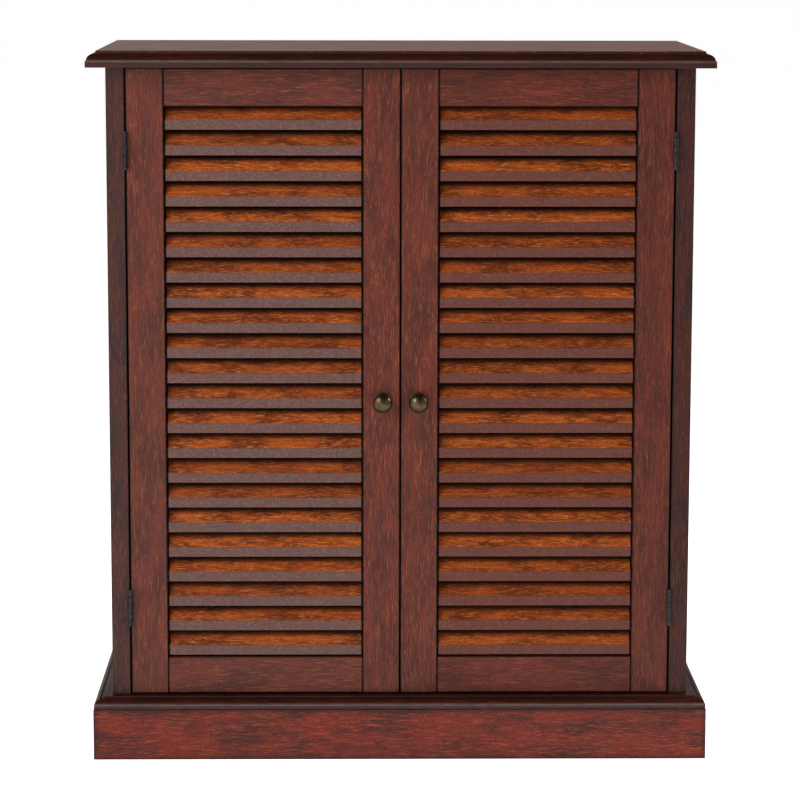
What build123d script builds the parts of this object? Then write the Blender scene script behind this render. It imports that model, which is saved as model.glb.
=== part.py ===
"""Louvre-door shoe cabinet: moulded top, two hinged doors, four shelves, plinth base.

Millimetres. X runs to the right, Y to the rear, Z up. The origin is on the floor, under the
middle of the cabinet's footprint. The doors face -Y.
"""

from build123d import *
import os
from math import cos, radians, tan

os.makedirs("parts", exist_ok=True)

# ---------------------------------------------------------------- overall size
width = 838.0
depth = 394.0
height = 965.0
front = -depth / 2
rear = depth / 2

# ---------------------------------------------------------------- top and base boards
top_thickness = 22.0
top_overhang = 25.0
top_nose = 9.8
top_ovolo_up = 8.9
base_thickness = 16.0
base_nose = 7.6
base_ovolo_up = 6.8
base_setback = 0.8
ovolo_in = 11.5
nose_round = 1.6
arris = 0.8

# ---------------------------------------------------------------- plinth
plinth_height = 70.0
plinth_board = 18.0
corner_block = 40.0
corner_block_height = 45.0
block_counterbore = 15.0

# ---------------------------------------------------------------- case
case_half = width / 2 - top_overhang
case_front = front + top_overhang
case_bottom = plinth_height + base_thickness
case_top = height - top_thickness
side_thickness = 18.0
stile_width = 24.6
frame_depth = 20.0
side_inner = case_half - side_thickness
side_front = case_front + frame_depth
tongue = 6.0
back_thickness = 5.0
back_rabbet = 10.0
back_front = rear - back_thickness
rail_height = 40.0
rail_thickness = 18.0
front_rail_gap = 2.5
rail_counterbore = 18.0
counterbore_radius = 5.0
dowel_radius = 4.0
dowel_length = 30.0
dowel_into_top = 12.0
dowel_into_base = 10.0
dowel_rows = (side_front + 40.0, 20.0, rear - 45.0)

# ---------------------------------------------------------------- screws
# Each wood screw is (length, shank radius, head radius, head height).
top_screw = (35.0, 2.0, 4.0, 2.6)
plinth_screw = (41.0, 2.0, 4.0, 2.6)
panel_screw = (18.0, 1.5, 3.0, 2.0)
catch_screw = (26.0, 1.5, 3.0, 2.0)
leaf_screw = (15.0, 1.5, 3.0, 1.0)
leaf_screw_hole = (8.0, 1.6, 3.1, 1.0)
plate_screw = (12.0, 1.5, 2.6, 0.8)
top_screw_x = (-300.0, -100.0, 100.0, 300.0)
panel_screw_x = (-200.0, 0.0, 200.0)
panel_screw_rows = 5
catch_screw_x = (-12.0, 12.0)

# ---------------------------------------------------------------- shelves
shelf_count = 4
shelf_thickness = 16.0
shelf_round = 1.5
shelf_spacing = 175.0
first_shelf_underside = 245.0
shelf_side_gap = 2.0
shelf_front = side_front + 14.0
shelf_rear = back_front - 5.0
pin_radius = 2.5
pin_fit = 0.05
pin_out = 8.0
pin_in = 8.8
pin_collar_radius = 4.0
pin_collar_length = 1.2
pin_hole_depth = 9.0
pin_hole_pitch = 25.0
pin_rows = (shelf_front + 35.0, shelf_rear - 35.0)

# ---------------------------------------------------------------- doors
side_gap = 2.2
end_gap = 2.0
centre_gap = 2.0
door_thickness = 20.0
door_stile = 49.5
door_rail = 50.0
joint_gap = 1.2
door_arris = 1.0
rail_tenon_length = 30.0
rail_tenon_thickness = 8.0
rail_tenon_height = 36.0
door_outer = case_half - stile_width - side_gap
door_inner = centre_gap / 2
door_low = case_bottom + end_gap
door_high = case_top - end_gap
door_back = case_front + door_thickness

# ---------------------------------------------------------------- louvre slats
slat_count = 22
slat_thickness = 8.0
slat_slope = 55.0
slat_depth = 17.0
slat_setback = 2.5
slat_lift = 1.6
slat_round = 0.4
slat_tenon_thickness = 5.0
slat_tenon_depth = 11.0
slat_tenon_length = 6.0
slat_clearance = 0.4
slat_middle_y = case_front + slat_setback + slat_depth / 2

# ---------------------------------------------------------------- butt hinges
hinge_length = 50.8
knuckle_count = 5
knuckle_gap = 0.3
barrel_radius = 3.0
barrel_stand_off = 0.3
hinge_pin_radius = 1.5
hinge_fit = 0.05
leaf_thickness = 1.0
leaf_corner = 2.0
hinge_pin_proud = 0.6
hinge_pin_round = 0.5
leaf_rear = side_front - 2.0
hinge_x = door_outer + side_gap / 2
hinge_y = case_front - barrel_stand_off - barrel_radius
hinge_heights = {"upper": 832.0, "lower": 207.5}
leaf_screw_pitch = 17.0
leaf_screw_y = (case_front + leaf_rear) / 2

# ---------------------------------------------------------------- knobs and catch
knob_x = 24.5
knob_z = 492.0
knob_radius = 13.2
knob_projection = 24.0
knob_rim = 16.6
knob_rim_round = 0.9
knob_foot_radius = 12.9
knob_foot_edge = 1.6
knob_foot_top = 2.6
knob_neck_radius = 6.2
knob_neck_height = 8.0
knob_screw_radius = 2.0
knob_screw_depth = 12.0
knob_screw_head = (3.8, 2.4)
knob_screw_head_round = 1.2
catch_half = 32.0
catch_height = 14.0
catch_depth = 20.0
catch_corner = 2.0
strike_thickness = 0.8
strike_x = 17.0
strike_length = 24.0
strike_height = 12.0
strike_corner = 2.0
magnet_inset = 1.0
magnet_gap = 0.3
magnet_length = 20.0
magnet_height = 9.0
magnet_depth = 8.0


# ---------------------------------------------------------------- shared shapes
def block(x, y, z):
    """Rectangular block between three (low, high) pairs."""
    size = [high - low for low, high in (x, y, z)]
    middle = [(low + high) / 2 for low, high in (x, y, z)]
    return Pos(*middle) * Box(*size)


def rod(centre, radius, length, axis):
    """Round bar along the axis, starting at the centre point."""
    return extrude(Plane(centre, z_dir=axis) * Circle(radius), amount=length)


def ease(shape, axis, radius, chosen=lambda edge: True):
    """The shape with its long edges along the axis rounded over."""
    edges = [edge for edge in shape.edges().filter_by(axis) if chosen(edge)]
    return fillet(edges, radius)


def wood_screw(point, axis, sizes):
    """Countersunk screw whose flat head faces away from the axis direction."""
    length, radius, head_radius, head_height = sizes
    outline = Polyline(
        (0, 0),
        (head_radius, 0),
        (head_radius - 0.2, 0.2),
        (radius, head_height),
        (radius, length - 2 * radius),
        (0, length),
        close=True,
    )
    solid = revolve(make_face(Plane.XZ * outline), axis=Axis.Z)
    return Plane(point, z_dir=axis) * solid


def group(solids):
    """Separate solids kept together as one sub-part."""
    return Compound(children=[item for shape in solids for item in shape.solids()])


def mirrored(shape):
    """The same piece on the left side of the cabinet."""
    return mirror(shape, about=Plane.YZ)


# ---------------------------------------------------------------- moulded boards
def moulded_edge(edge, inward, base, thickness, nose, ovolo_up):
    """Lines of one moulded edge, from the underside up to the flat: nose, ovolo, fillet."""
    quirk = edge + inward * nose_round
    shoulder = quirk + inward * ovolo_in
    lip = base + nose
    crown = lip + ovolo_up
    start = 90 if inward > 0 else 0
    return [
        TangentArc((edge + inward * arris, base), (edge, base + arris), tangent=(-inward, 0)),
        Line((edge, base + arris), (edge, lip - nose_round)),
        TangentArc((edge, lip - nose_round), (quirk, lip), tangent=(0, 1)),
        EllipticalCenterArc((shoulder, lip), ovolo_in, ovolo_up, start),
        Line((shoulder, crown), (shoulder, base + thickness - arris)),
        TangentArc(
            (shoulder, base + thickness - arris),
            (shoulder + inward * arris, base + thickness),
            tangent=(0, 1),
        ),
    ]


def moulded_board(half_width, front_edge, base, thickness, nose, ovolo_up):
    """Board moulded on the front and both ends and square at the back, mitred at the corners."""
    flat = nose_round + ovolo_in + arris
    shape = (base, thickness, nose, ovolo_up)
    ends = moulded_edge(-half_width, 1, *shape) + moulded_edge(half_width, -1, *shape)
    ends.append(Line((-half_width + flat, base + thickness), (half_width - flat, base + thickness)))
    ends.append(Line((-half_width + arris, base), (half_width - arris, base)))
    across = moulded_edge(front_edge, 1, *shape)
    across.append(
        Polyline(
            (front_edge + flat, base + thickness),
            (rear, base + thickness),
            (rear, base),
            (front_edge + arris, base),
        )
    )
    along_y = extrude(Plane.XZ * make_face(ends), amount=depth, both=True)
    along_x = extrude(Plane.YZ * make_face(across), amount=width, both=True)
    return along_y & along_x


def top_panel():
    board = moulded_board(width / 2, front, case_top, top_thickness, top_nose, top_ovolo_up)
    return board - group(dowels(case_top)) - group(top_screws())


def base_board():
    board = moulded_board(
        width / 2 - base_setback,
        front + base_setback,
        plinth_height,
        base_thickness,
        base_nose,
        base_ovolo_up,
    )
    return board - group(dowels(case_bottom)) - group(plinth_screws())


# ---------------------------------------------------------------- case
def dowels(joint_z):
    """Beech dowels through one joint plane, three in each side panel."""
    above = dowel_into_top if joint_z == case_top else dowel_length - dowel_into_base
    low = joint_z + above - dowel_length
    middle = side_inner + side_thickness / 2
    return [
        rod((sign * middle, y, low), dowel_radius, dowel_length, (0, 0, 1))
        for sign in (-1, 1)
        for y in dowel_rows
    ]


def shelf_undersides():
    return [first_shelf_underside + shelf_spacing * index for index in range(shelf_count)]


def pin_holes():
    """Five holes round each shelf's height, in a front and a rear row."""
    holes = []
    for underside in shelf_undersides():
        for step in range(-2, 3):
            z = underside - pin_radius + step * pin_hole_pitch
            for y in pin_rows:
                holes.append(rod((side_inner, y, z), pin_radius + pin_fit, pin_hole_depth, (1, 0, 0)))
    return holes


def right_side_panel():
    board = block((side_inner, case_half), (side_front, rear), (case_bottom, case_top))
    middle = side_inner + side_thickness / 2
    board += block(
        (middle - tongue / 2, middle + tongue / 2),
        (side_front - tongue, side_front),
        (case_bottom, case_top),
    )
    board -= block(
        (side_inner, side_inner + back_rabbet), (back_front, rear), (case_bottom, case_top)
    )
    board -= group(pin_holes())
    board -= group(dowels(case_top) + dowels(case_bottom))
    return board - group(back_screws())


def right_front_stile():
    board = block(
        (case_half - stile_width, case_half), (case_front, side_front), (case_bottom, case_top)
    )
    board = ease(board, Axis.Z, arris, lambda edge: edge.center().Y < side_front - 1)
    middle = side_inner + side_thickness / 2
    board -= block(
        (middle - tongue / 2, middle + tongue / 2),
        (side_front - tongue, side_front),
        (case_bottom, case_top),
    )
    return board - group(hinge_screws(1))


def back_panel():
    edge = side_inner + back_rabbet
    board = block((-edge, edge), (back_front, rear), (case_bottom, case_top))
    return board - group(back_screws())


def back_screws():
    """Screws through the back panel, into the side panels and the rear rail."""
    side_x = side_inner + back_rabbet / 2
    span = case_top - case_bottom - 2 * rail_height
    spots = [
        (sign * side_x, case_bottom + rail_height + span * step / (panel_screw_rows - 1))
        for sign in (-1, 1)
        for step in range(panel_screw_rows)
    ]
    spots += [(x, case_top - rail_height / 2) for x in panel_screw_x]
    return [wood_screw((x, rear, z), (0, -1, 0), panel_screw) for x, z in spots]


def top_rail(low_y):
    """Rail under the top, between the side panels."""
    board = block(
        (-side_inner, side_inner),
        (low_y, low_y + rail_thickness),
        (case_top - rail_height, case_top),
    )
    board = ease(board, Axis.X, arris, lambda edge: edge.center().Z < case_top - 1)
    for x, y in top_screw_spots():
        low = (x, y, case_top - rail_height)
        board -= rod(low, counterbore_radius, rail_counterbore, (0, 0, 1))
    return board - group(top_screws())


def top_screw_spots():
    front_y = front_rail_low() + rail_thickness / 2
    rear_y = back_front - rail_thickness / 2
    return [(x, y) for x in top_screw_x for y in (front_y, rear_y)]


def top_screws():
    """Screws that draw the top down onto the two rails."""
    head = case_top - rail_height + rail_counterbore
    return [wood_screw((x, y, head), (0, 0, 1), top_screw) for x, y in top_screw_spots()]


def front_rail_low():
    return side_front + front_rail_gap


def top_front_rail():
    return top_rail(front_rail_low()) - group(catch_screws())


def top_rear_rail():
    return top_rail(back_front - rail_thickness) - group(back_screws())


# ---------------------------------------------------------------- plinth
def plinth_front_board():
    board = block((-width / 2, width / 2), (front, front + plinth_board), (0, plinth_height))
    board = ease(board, Axis.X, arris, lambda edge: edge.center().Y < front + 1)
    return board & mitre_prism()


def mitre_prism():
    """Upright prism whose plan is the front board cut at 45 degrees at both ends."""
    plan = Polyline(
        (-width / 2, front),
        (width / 2, front),
        (width / 2 - plinth_board, front + plinth_board),
        (-width / 2 + plinth_board, front + plinth_board),
        close=True,
    )
    return extrude(make_face(plan), amount=plinth_height)


def plinth_right_board():
    board = block((width / 2 - plinth_board, width / 2), (front, rear), (0, plinth_height))
    board = ease(board, Axis.Y, arris, lambda edge: edge.center().X > width / 2 - 1)
    return board - mitre_prism()


def plinth_rear_board():
    inner = width / 2 - plinth_board
    return block((-inner, inner), (rear - plinth_board, rear), (0, plinth_height))


def plinth_block_corners():
    x = width / 2 - plinth_board - corner_block / 2
    y = depth / 2 - plinth_board - corner_block / 2
    return [(sx * x, sy * y) for sx in (-1, 1) for sy in (-1, 1)]


def plinth_corner_blocks():
    low = plinth_height - corner_block_height
    blocks = []
    for x, y in plinth_block_corners():
        piece = Pos(x, y, low + corner_block_height / 2) * Box(
            corner_block, corner_block, corner_block_height
        )
        piece -= rod((x, y, low), counterbore_radius, block_counterbore, (0, 0, 1))
        blocks.append(piece - group(plinth_screws()))
    return group(blocks)


def plinth_screws():
    """Screws up through the corner blocks into the base board."""
    head = plinth_height - corner_block_height + block_counterbore
    return [wood_screw((x, y, head), (0, 0, 1), plinth_screw) for x, y in plinth_block_corners()]


# ---------------------------------------------------------------- shelves
def shelf(underside):
    half = side_inner - shelf_side_gap
    board = block((-half, half), (shelf_front, shelf_rear), (underside, underside + shelf_thickness))
    return ease(board, Axis.X, shelf_round, lambda edge: edge.center().Y < shelf_front + 1)


def shelf_pins():
    """Four pins under each shelf, each with a collar against the side panel."""
    pins = []
    for underside in shelf_undersides():
        z = underside - pin_radius
        for y in pin_rows:
            pin = rod((side_inner - pin_out, y, z), pin_radius, pin_out + pin_in, (1, 0, 0))
            collar_face = (side_inner - pin_collar_length, y, z)
            pin += rod(collar_face, pin_collar_radius, pin_collar_length, (1, 0, 0))
            pins += [pin, mirrored(pin)]
    return group(pins)


# ---------------------------------------------------------------- door frame
def door_stile_board(low_x):
    board = block((low_x, low_x + door_stile), (case_front, door_back), (door_low, door_high))
    board = ease(board, Axis.Z, door_arris)
    return board - group(slat_tenons()) - group(rail_tenons())


def right_door_hinge_stile():
    return door_stile_board(door_outer - door_stile) - group(hinge_screws(-1))


def right_door_meeting_stile():
    hole = rod((knob_x, case_front, knob_z), knob_screw_radius + 0.2, door_thickness, (0, 1, 0))
    return door_stile_board(door_inner) - hole - strike_screw()


def rail_span():
    """X range between the stiles, less the shadow gap at each shoulder."""
    return (door_inner + door_stile + joint_gap, door_outer - door_stile - joint_gap)


def rail_tenon(rail_low):
    low_x, high_x = rail_span()
    middle_y = (case_front + door_back) / 2
    middle_z = rail_low + door_rail / 2
    reach = joint_gap + rail_tenon_length
    return block(
        (low_x - reach, high_x + reach),
        (middle_y - rail_tenon_thickness / 2, middle_y + rail_tenon_thickness / 2),
        (middle_z - rail_tenon_height / 2, middle_z + rail_tenon_height / 2),
    )


def rail_tenons():
    return [rail_tenon(door_low), rail_tenon(door_high - door_rail)]


def door_rail_board(low_z):
    board = block(rail_span(), (case_front, door_back), (low_z, low_z + door_rail))
    return ease(board, Axis.X, door_arris) + rail_tenon(low_z)


def right_door_bottom_rail():
    return door_rail_board(door_low)


def right_door_top_rail():
    """The lower rear edge is bevelled to clear the topmost slat."""
    board = door_rail_board(door_high - door_rail)
    height_up = slat_heights()[-1]
    room = slat_prism(slat_depth + 2, slat_thickness + 2 * slat_clearance, rail_span(), height_up)
    return board - room


# ---------------------------------------------------------------- louvre slats
def slat_rise():
    return slat_depth * tan(radians(slat_slope))


def slat_nose():
    """Height of the slat's upright front face."""
    return slat_thickness / cos(radians(slat_slope))


def slat_heights():
    """Height of each slat's middle, from the bottom up."""
    low = door_low + door_rail
    pitch = (door_high - door_rail - low) / slat_count
    first = low + slat_lift + (slat_nose() + slat_rise()) / 2
    return [first + pitch * index for index in range(slat_count)]


def slat_prism(across, thickness, span, middle_z):
    """Sloping slat with upright front and back cuts, low at the front."""
    half = across / 2
    rise = half * tan(radians(slat_slope))
    upright = thickness / cos(radians(slat_slope)) / 2
    outline = Polyline(
        (slat_middle_y - half, middle_z - rise - upright),
        (slat_middle_y + half, middle_z + rise - upright),
        (slat_middle_y + half, middle_z + rise + upright),
        (slat_middle_y - half, middle_z - rise + upright),
        close=True,
    )
    low, high = span
    face = Plane.YZ.offset(low) * make_face(outline)
    return extrude(face, amount=high - low)


def slat_tenon(middle_z):
    low, high = rail_span()
    reach = joint_gap + slat_tenon_length
    return slat_prism(slat_tenon_depth, slat_tenon_thickness, (low - reach, high + reach), middle_z)


def slat_tenons():
    return [slat_tenon(middle_z) for middle_z in slat_heights()]


def right_door_slats():
    slats = []
    for middle_z in slat_heights():
        body = slat_prism(slat_depth, slat_thickness, rail_span(), middle_z)
        body = ease(body, Axis.X, slat_round, lambda edge: edge.center().Y < slat_middle_y)
        slats.append(body + slat_tenon(middle_z))
    return group(slats)


# ---------------------------------------------------------------- hinges
def knuckles(owner, middle_z):
    """(low, high) of each knuckle: the frame leaf owns the odd ones, the door leaf the even."""
    pitch = hinge_length / knuckle_count
    low = middle_z - hinge_length / 2
    first = 0 if owner > 0 else 1
    return [
        (low + index * pitch + knuckle_gap / 2, low + (index + 1) * pitch - knuckle_gap / 2)
        for index in range(first, knuckle_count, 2)
    ]


def hinge_leaf(owner, middle_z):
    """Leaf and knuckles. Owner is +1 for the leaf on the frame and -1 for the door's."""
    wood = hinge_x + owner * side_gap / 2
    face = wood - owner * leaf_thickness
    span = (min(wood, face), max(wood, face))
    half = hinge_length / 2
    leaf = block(span, (case_front, leaf_rear), (middle_z - half, middle_z + half))
    leaf = ease(leaf, Axis.X, leaf_corner, lambda edge: edge.center().Y > leaf_rear - 1)
    bore = hinge_pin_radius + (hinge_fit if owner < 0 else 0.0)
    for low, high in knuckles(owner, middle_z):
        leaf += block(span, (hinge_y, case_front + 1), (low, high))
        leaf += rod((hinge_x, hinge_y, low), barrel_radius, high - low, (0, 0, 1))
    leaf -= rod((hinge_x, hinge_y, middle_z - half), bore, hinge_length, (0, 0, 1))
    spots = leaf_screw_spots(owner, middle_z)
    room = [wood_screw(point, axis, leaf_screw_hole) for point, axis in spots]
    return leaf - group(room)


def leaf_screw_spots(owner, middle_z):
    face = hinge_x + owner * (side_gap / 2 - leaf_thickness)
    return [
        ((face, leaf_screw_y, middle_z + step * leaf_screw_pitch), (owner, 0, 0))
        for step in (-1, 0, 1)
    ]


def hinge_screws(owner):
    """The screws of the right-hand hinges, three in each leaf."""
    return [
        wood_screw(point, axis, leaf_screw)
        for middle_z in hinge_heights.values()
        for point, axis in leaf_screw_spots(owner, middle_z)
    ]


def hinge_pin(middle_z):
    """Pin with slightly domed ends that stand just proud of the barrel."""
    reach = hinge_length / 2 + hinge_pin_proud
    pin = rod((hinge_x, hinge_y, middle_z - reach), hinge_pin_radius, 2 * reach, (0, 0, 1))
    return fillet(pin.edges().filter_by(GeomType.CIRCLE), hinge_pin_round)


# ---------------------------------------------------------------- knobs
def right_knob():
    """Turned mushroom knob: wide foot, waisted neck and a cap domed as part of a sphere."""
    edge = knob_radius - knob_rim_round / 3
    dome = knob_projection - knob_rim
    sphere_radius = (edge**2 + dome**2) / (2 * dome)
    rim_low = knob_rim - 2 * knob_rim_round
    neck = (knob_neck_radius, knob_neck_height)
    foot_side = ((knob_foot_radius + knob_neck_radius) / 2, knob_foot_top + knob_rim_round)
    cap_side = ((knob_radius + knob_neck_radius) / 2, rim_low - knob_rim_round)
    outline = [
        Line((0, 0), (knob_foot_radius, 0)),
        Line((knob_foot_radius, 0), (knob_foot_radius, knob_foot_edge)),
        Line((knob_foot_radius, knob_foot_edge), (knob_foot_radius - 1, knob_foot_top)),
        ThreePointArc((knob_foot_radius - 1, knob_foot_top), foot_side, neck),
        ThreePointArc(neck, cap_side, (knob_radius - knob_rim_round, rim_low)),
        ThreePointArc(
            (knob_radius - knob_rim_round, rim_low),
            (knob_radius, knob_rim - knob_rim_round),
            (edge, knob_rim),
        ),
        RadiusArc((edge, knob_rim), (0, knob_projection), -sphere_radius),
        Line((0, knob_projection), (0, 0)),
    ]
    turned = revolve(Plane.XZ * make_face(outline), axis=Axis.Z)
    turned -= Cylinder(
        knob_screw_radius, knob_screw_depth, align=(Align.CENTER, Align.CENTER, Align.MIN)
    )
    return Plane((knob_x, case_front, knob_z), z_dir=(0, -1, 0)) * turned


def right_knob_screw():
    """Machine screw from inside the door into the knob."""
    length = door_thickness + knob_screw_depth
    shank = rod((knob_x, door_back, knob_z), knob_screw_radius, length, (0, -1, 0))
    head = rod((knob_x, door_back, knob_z), *knob_screw_head, (0, 1, 0))
    head = fillet(head.edges().sort_by(Axis.Y)[-1], knob_screw_head_round)
    return shank + head


# ---------------------------------------------------------------- magnetic catch
def magnet_front():
    return door_back + strike_thickness + magnet_gap


def catch_magnets():
    middle_z = catch_middle_z()
    magnets = [
        block(
            (sign * strike_x - magnet_length / 2, sign * strike_x + magnet_length / 2),
            (magnet_front(), magnet_front() + magnet_depth),
            (middle_z - magnet_height / 2, middle_z + magnet_height / 2),
        )
        for sign in (-1, 1)
    ]
    return group(magnets)


def catch_middle_z():
    return case_top - rail_height - catch_height / 2


def catch_housing():
    """Moulded housing under the front rail that holds a magnet for each door."""
    low_y = magnet_front() + magnet_inset
    housing = block(
        (-catch_half, catch_half),
        (low_y, low_y + catch_depth),
        (case_top - rail_height - catch_height, case_top - rail_height),
    )
    housing = ease(housing, Axis.Z, catch_corner)
    return housing - catch_magnets() - group(catch_screws())


def catch_screws():
    """Two screws up through the housing into the rail."""
    y = front_rail_low() + rail_thickness / 2
    low = case_top - rail_height - catch_height
    return [wood_screw((x, y, low), (0, 0, 1), catch_screw) for x in catch_screw_x]


def right_strike_plate():
    """Steel plate on the back of the meeting stile."""
    middle_z = catch_middle_z()
    plate = block(
        (strike_x - strike_length / 2, strike_x + strike_length / 2),
        (door_back, door_back + strike_thickness),
        (middle_z - strike_height / 2, middle_z + strike_height / 2),
    )
    return ease(plate, Axis.Y, strike_corner) - strike_screw()


def strike_screw():
    point = (strike_x, door_back + strike_thickness, catch_middle_z())
    return wood_screw(point, (0, -1, 0), plate_screw)


# ---------------------------------------------------------------- writing the sub-parts
def hinge_nodes():
    """Leaves and pin of each hinge, on both sides."""
    nodes = {}
    for place, middle_z in hinge_heights.items():
        pieces = {
            "frame_leaf": hinge_leaf(1, middle_z),
            "door_leaf": hinge_leaf(-1, middle_z),
            "pin": hinge_pin(middle_z),
        }
        for piece, shape in pieces.items():
            nodes[f"right_{place}_hinge_{piece}"] = shape
            nodes[f"left_{place}_hinge_{piece}"] = mirrored(shape)
    return nodes


def paired_nodes():
    """Pieces made for the right side and mirrored to the left."""
    pairs = {
        "side_panel": right_side_panel(),
        "front_stile": right_front_stile(),
        "door_hinge_stile": right_door_hinge_stile(),
        "door_meeting_stile": right_door_meeting_stile(),
        "door_top_rail": right_door_top_rail(),
        "door_bottom_rail": right_door_bottom_rail(),
        "door_slats": right_door_slats(),
        "door_knob": right_knob(),
        "door_knob_screw": right_knob_screw(),
        "door_hinge_screws": group(hinge_screws(-1)),
        "door_strike_plate": right_strike_plate(),
        "door_strike_screw": strike_screw(),
    }
    nodes = {f"right_{name}": shape for name, shape in pairs.items()}
    nodes |= {f"left_{name}": mirrored(shape) for name, shape in pairs.items()}
    nodes["plinth_right_board"] = plinth_right_board()
    nodes["plinth_left_board"] = mirrored(plinth_right_board())
    return nodes


def single_nodes():
    """Pieces on the middle of the cabinet, and groups that span it."""
    frame_screws = hinge_screws(1)
    nodes = {
        "top_panel": top_panel(),
        "base_board": base_board(),
        "back_panel": back_panel(),
        "top_front_rail": top_front_rail(),
        "top_rear_rail": top_rear_rail(),
        "plinth_front_board": plinth_front_board(),
        "plinth_rear_board": plinth_rear_board(),
        "plinth_corner_blocks": plinth_corner_blocks(),
        "shelf_pins": shelf_pins(),
        "case_dowels": group(dowels(case_top) + dowels(case_bottom)),
        "hinge_frame_screws": group(frame_screws + [mirrored(item) for item in frame_screws]),
        "back_panel_screws": group(back_screws()),
        "top_fixing_screws": group(top_screws()),
        "plinth_screws": group(plinth_screws()),
        "catch_housing": catch_housing(),
        "catch_magnets": catch_magnets(),
        "catch_screws": group(catch_screws()),
    }
    for number, underside in enumerate(shelf_undersides(), start=1):
        nodes[f"shelf_{number}"] = shelf(underside)
    return nodes


for node, shape in (single_nodes() | paired_nodes() | hinge_nodes()).items():
    export_step(shape, f"parts/{node}.step")
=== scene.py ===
"""Louvre-door shoe cabinet: stained timber, turned knobs and small steel fittings.

The cabinet's frame gives every place and size. Boards keep their shape and get a stain;
mouldings, slats, knobs, hinges, screws and catch parts are modelled here.
"""

from contextlib import contextmanager
from dataclasses import dataclass, replace
from math import asin, cos, degrees, radians, sin, tan

import bmesh
import bpy
from mathutils import Euler, Matrix, Vector


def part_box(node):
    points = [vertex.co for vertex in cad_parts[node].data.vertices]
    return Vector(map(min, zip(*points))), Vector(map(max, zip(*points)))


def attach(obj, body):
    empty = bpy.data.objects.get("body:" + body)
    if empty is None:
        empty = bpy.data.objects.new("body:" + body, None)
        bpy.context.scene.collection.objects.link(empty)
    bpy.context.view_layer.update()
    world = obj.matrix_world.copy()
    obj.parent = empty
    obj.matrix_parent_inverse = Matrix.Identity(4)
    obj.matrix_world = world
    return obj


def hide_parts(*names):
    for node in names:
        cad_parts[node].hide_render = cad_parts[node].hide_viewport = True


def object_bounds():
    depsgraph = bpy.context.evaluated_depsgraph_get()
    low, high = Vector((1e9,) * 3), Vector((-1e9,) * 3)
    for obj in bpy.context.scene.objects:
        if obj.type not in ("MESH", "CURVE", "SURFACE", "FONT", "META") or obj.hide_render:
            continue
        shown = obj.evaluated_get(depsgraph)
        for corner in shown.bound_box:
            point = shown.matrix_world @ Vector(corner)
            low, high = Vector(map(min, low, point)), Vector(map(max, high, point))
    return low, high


bl_info = {
    "name": "Louvre Shoe Cabinet",
    "version": (1, 0, 0),
    "blender": (4, 5, 0),
    "location": "3D View > Sidebar > Cabinet",
    "description": "Stains and fits out a louvre-door shoe cabinet round its frame",
    "category": "Object",
}

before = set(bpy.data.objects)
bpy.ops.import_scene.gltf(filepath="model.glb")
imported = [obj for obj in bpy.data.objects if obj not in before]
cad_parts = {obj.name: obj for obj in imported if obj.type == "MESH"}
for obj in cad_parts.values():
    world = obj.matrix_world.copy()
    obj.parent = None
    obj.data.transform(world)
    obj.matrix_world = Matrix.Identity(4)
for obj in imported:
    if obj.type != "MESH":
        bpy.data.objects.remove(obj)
frame_low, frame_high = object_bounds()
mm = 0.001
shadow_gap = 1.2 * mm
rail_tenon = 30 * mm
slat_tenon = 6 * mm
slat_gap = 2.0 * mm
slat_round = 0.5 * mm
slat_slope = radians(55)
knuckle_count = 5


# --- settings
def tone(name, description, default):
    """A colour that the user can change."""
    return bpy.props.FloatVectorProperty(
        name=name, description=description, default=default, subtype="COLOR", min=0, max=1
    )


def length(name, description, default):
    """A length that the user can change."""
    return bpy.props.FloatProperty(
        name=name, description=description, default=default, min=0, unit="LENGTH", precision=5
    )


def share(name, description, default):
    """A share between nothing and all, that the user can change."""
    return bpy.props.FloatProperty(
        name=name, description=description, default=default, min=0, max=1, subtype="FACTOR"
    )


def angle(name, description, default):
    """An angle that the user can change."""
    return bpy.props.FloatProperty(
        name=name, description=description, default=default, subtype="ANGLE"
    )


def brightness(name, description, default, unit="NONE"):
    """A power or a brightness that the user can change."""
    return bpy.props.FloatProperty(
        name=name, description=description, default=default, min=0, unit=unit
    )


tone_parts = {"light": "Bright fibres", "middle": "Main colour", "dark": "Dark patches"}

# Each kind of timber: what it is on, then its light, middle and dark tones.
stain_tones = {
    "door": ("doors", (0.285, 0.072, 0.027), (0.103, 0.0164, 0.0067), (0.052, 0.0096, 0.0054)),
    "case": ("case", (0.16, 0.04, 0.02), (0.052, 0.01, 0.006), (0.02, 0.006, 0.005)),
    "plinth": ("plinth", (0.33, 0.052, 0.016), (0.142, 0.013, 0.0048), (0.046, 0.0082, 0.005)),
    "moulding": ("moulded top", (0.26, 0.07, 0.04), (0.17, 0.036, 0.02), (0.1, 0.024, 0.014)),
    "base": ("base board", (0.09, 0.02, 0.011), (0.033, 0.006, 0.0033), (0.015, 0.003, 0.002)),
    "slat": ("slats", (0.85, 0.26, 0.05), (0.4, 0.075, 0.011), (0.1, 0.015, 0.003)),
    # The slats' fronts are greyer than the slopes: partly their flecked timber, partly a painted
    # reflection of the pale room on the upright faces.
    "edge": ("slats' fronts", (0.26, 0.135, 0.11), (0.108, 0.036, 0.026), (0.1, 0.032, 0.024)),
}


class CabinetStain(bpy.types.PropertyGroup):
    """Colours and surface of the timber"""

    # Painted highlight: a lighter, greyer colour along the upper edge of each moulded nose.
    moulding_nose_highlight: tone("Nose highlight", "Colour of the highlight painted along a nose's upper edge", (0.1, 0.055, 0.05))
    roughness: share("Lacquer roughness", "Roughness of the satin lacquer", 0.45)
    gloss: share("Lacquer gloss", "Strength of the lacquer's reflections", 0.26)
    pore_depth: length("Pore depth", "Depth of the pores under the lacquer", 0.12 * mm)


for kind, (board, *tones) in stain_tones.items():
    for (part, use), default in zip(tone_parts.items(), tones):
        CabinetStain.__annotations__[f"{kind}_{part}"] = tone(
            f"{board} {part}".capitalize(), f"{use} of the {board}", default
        )


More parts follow.
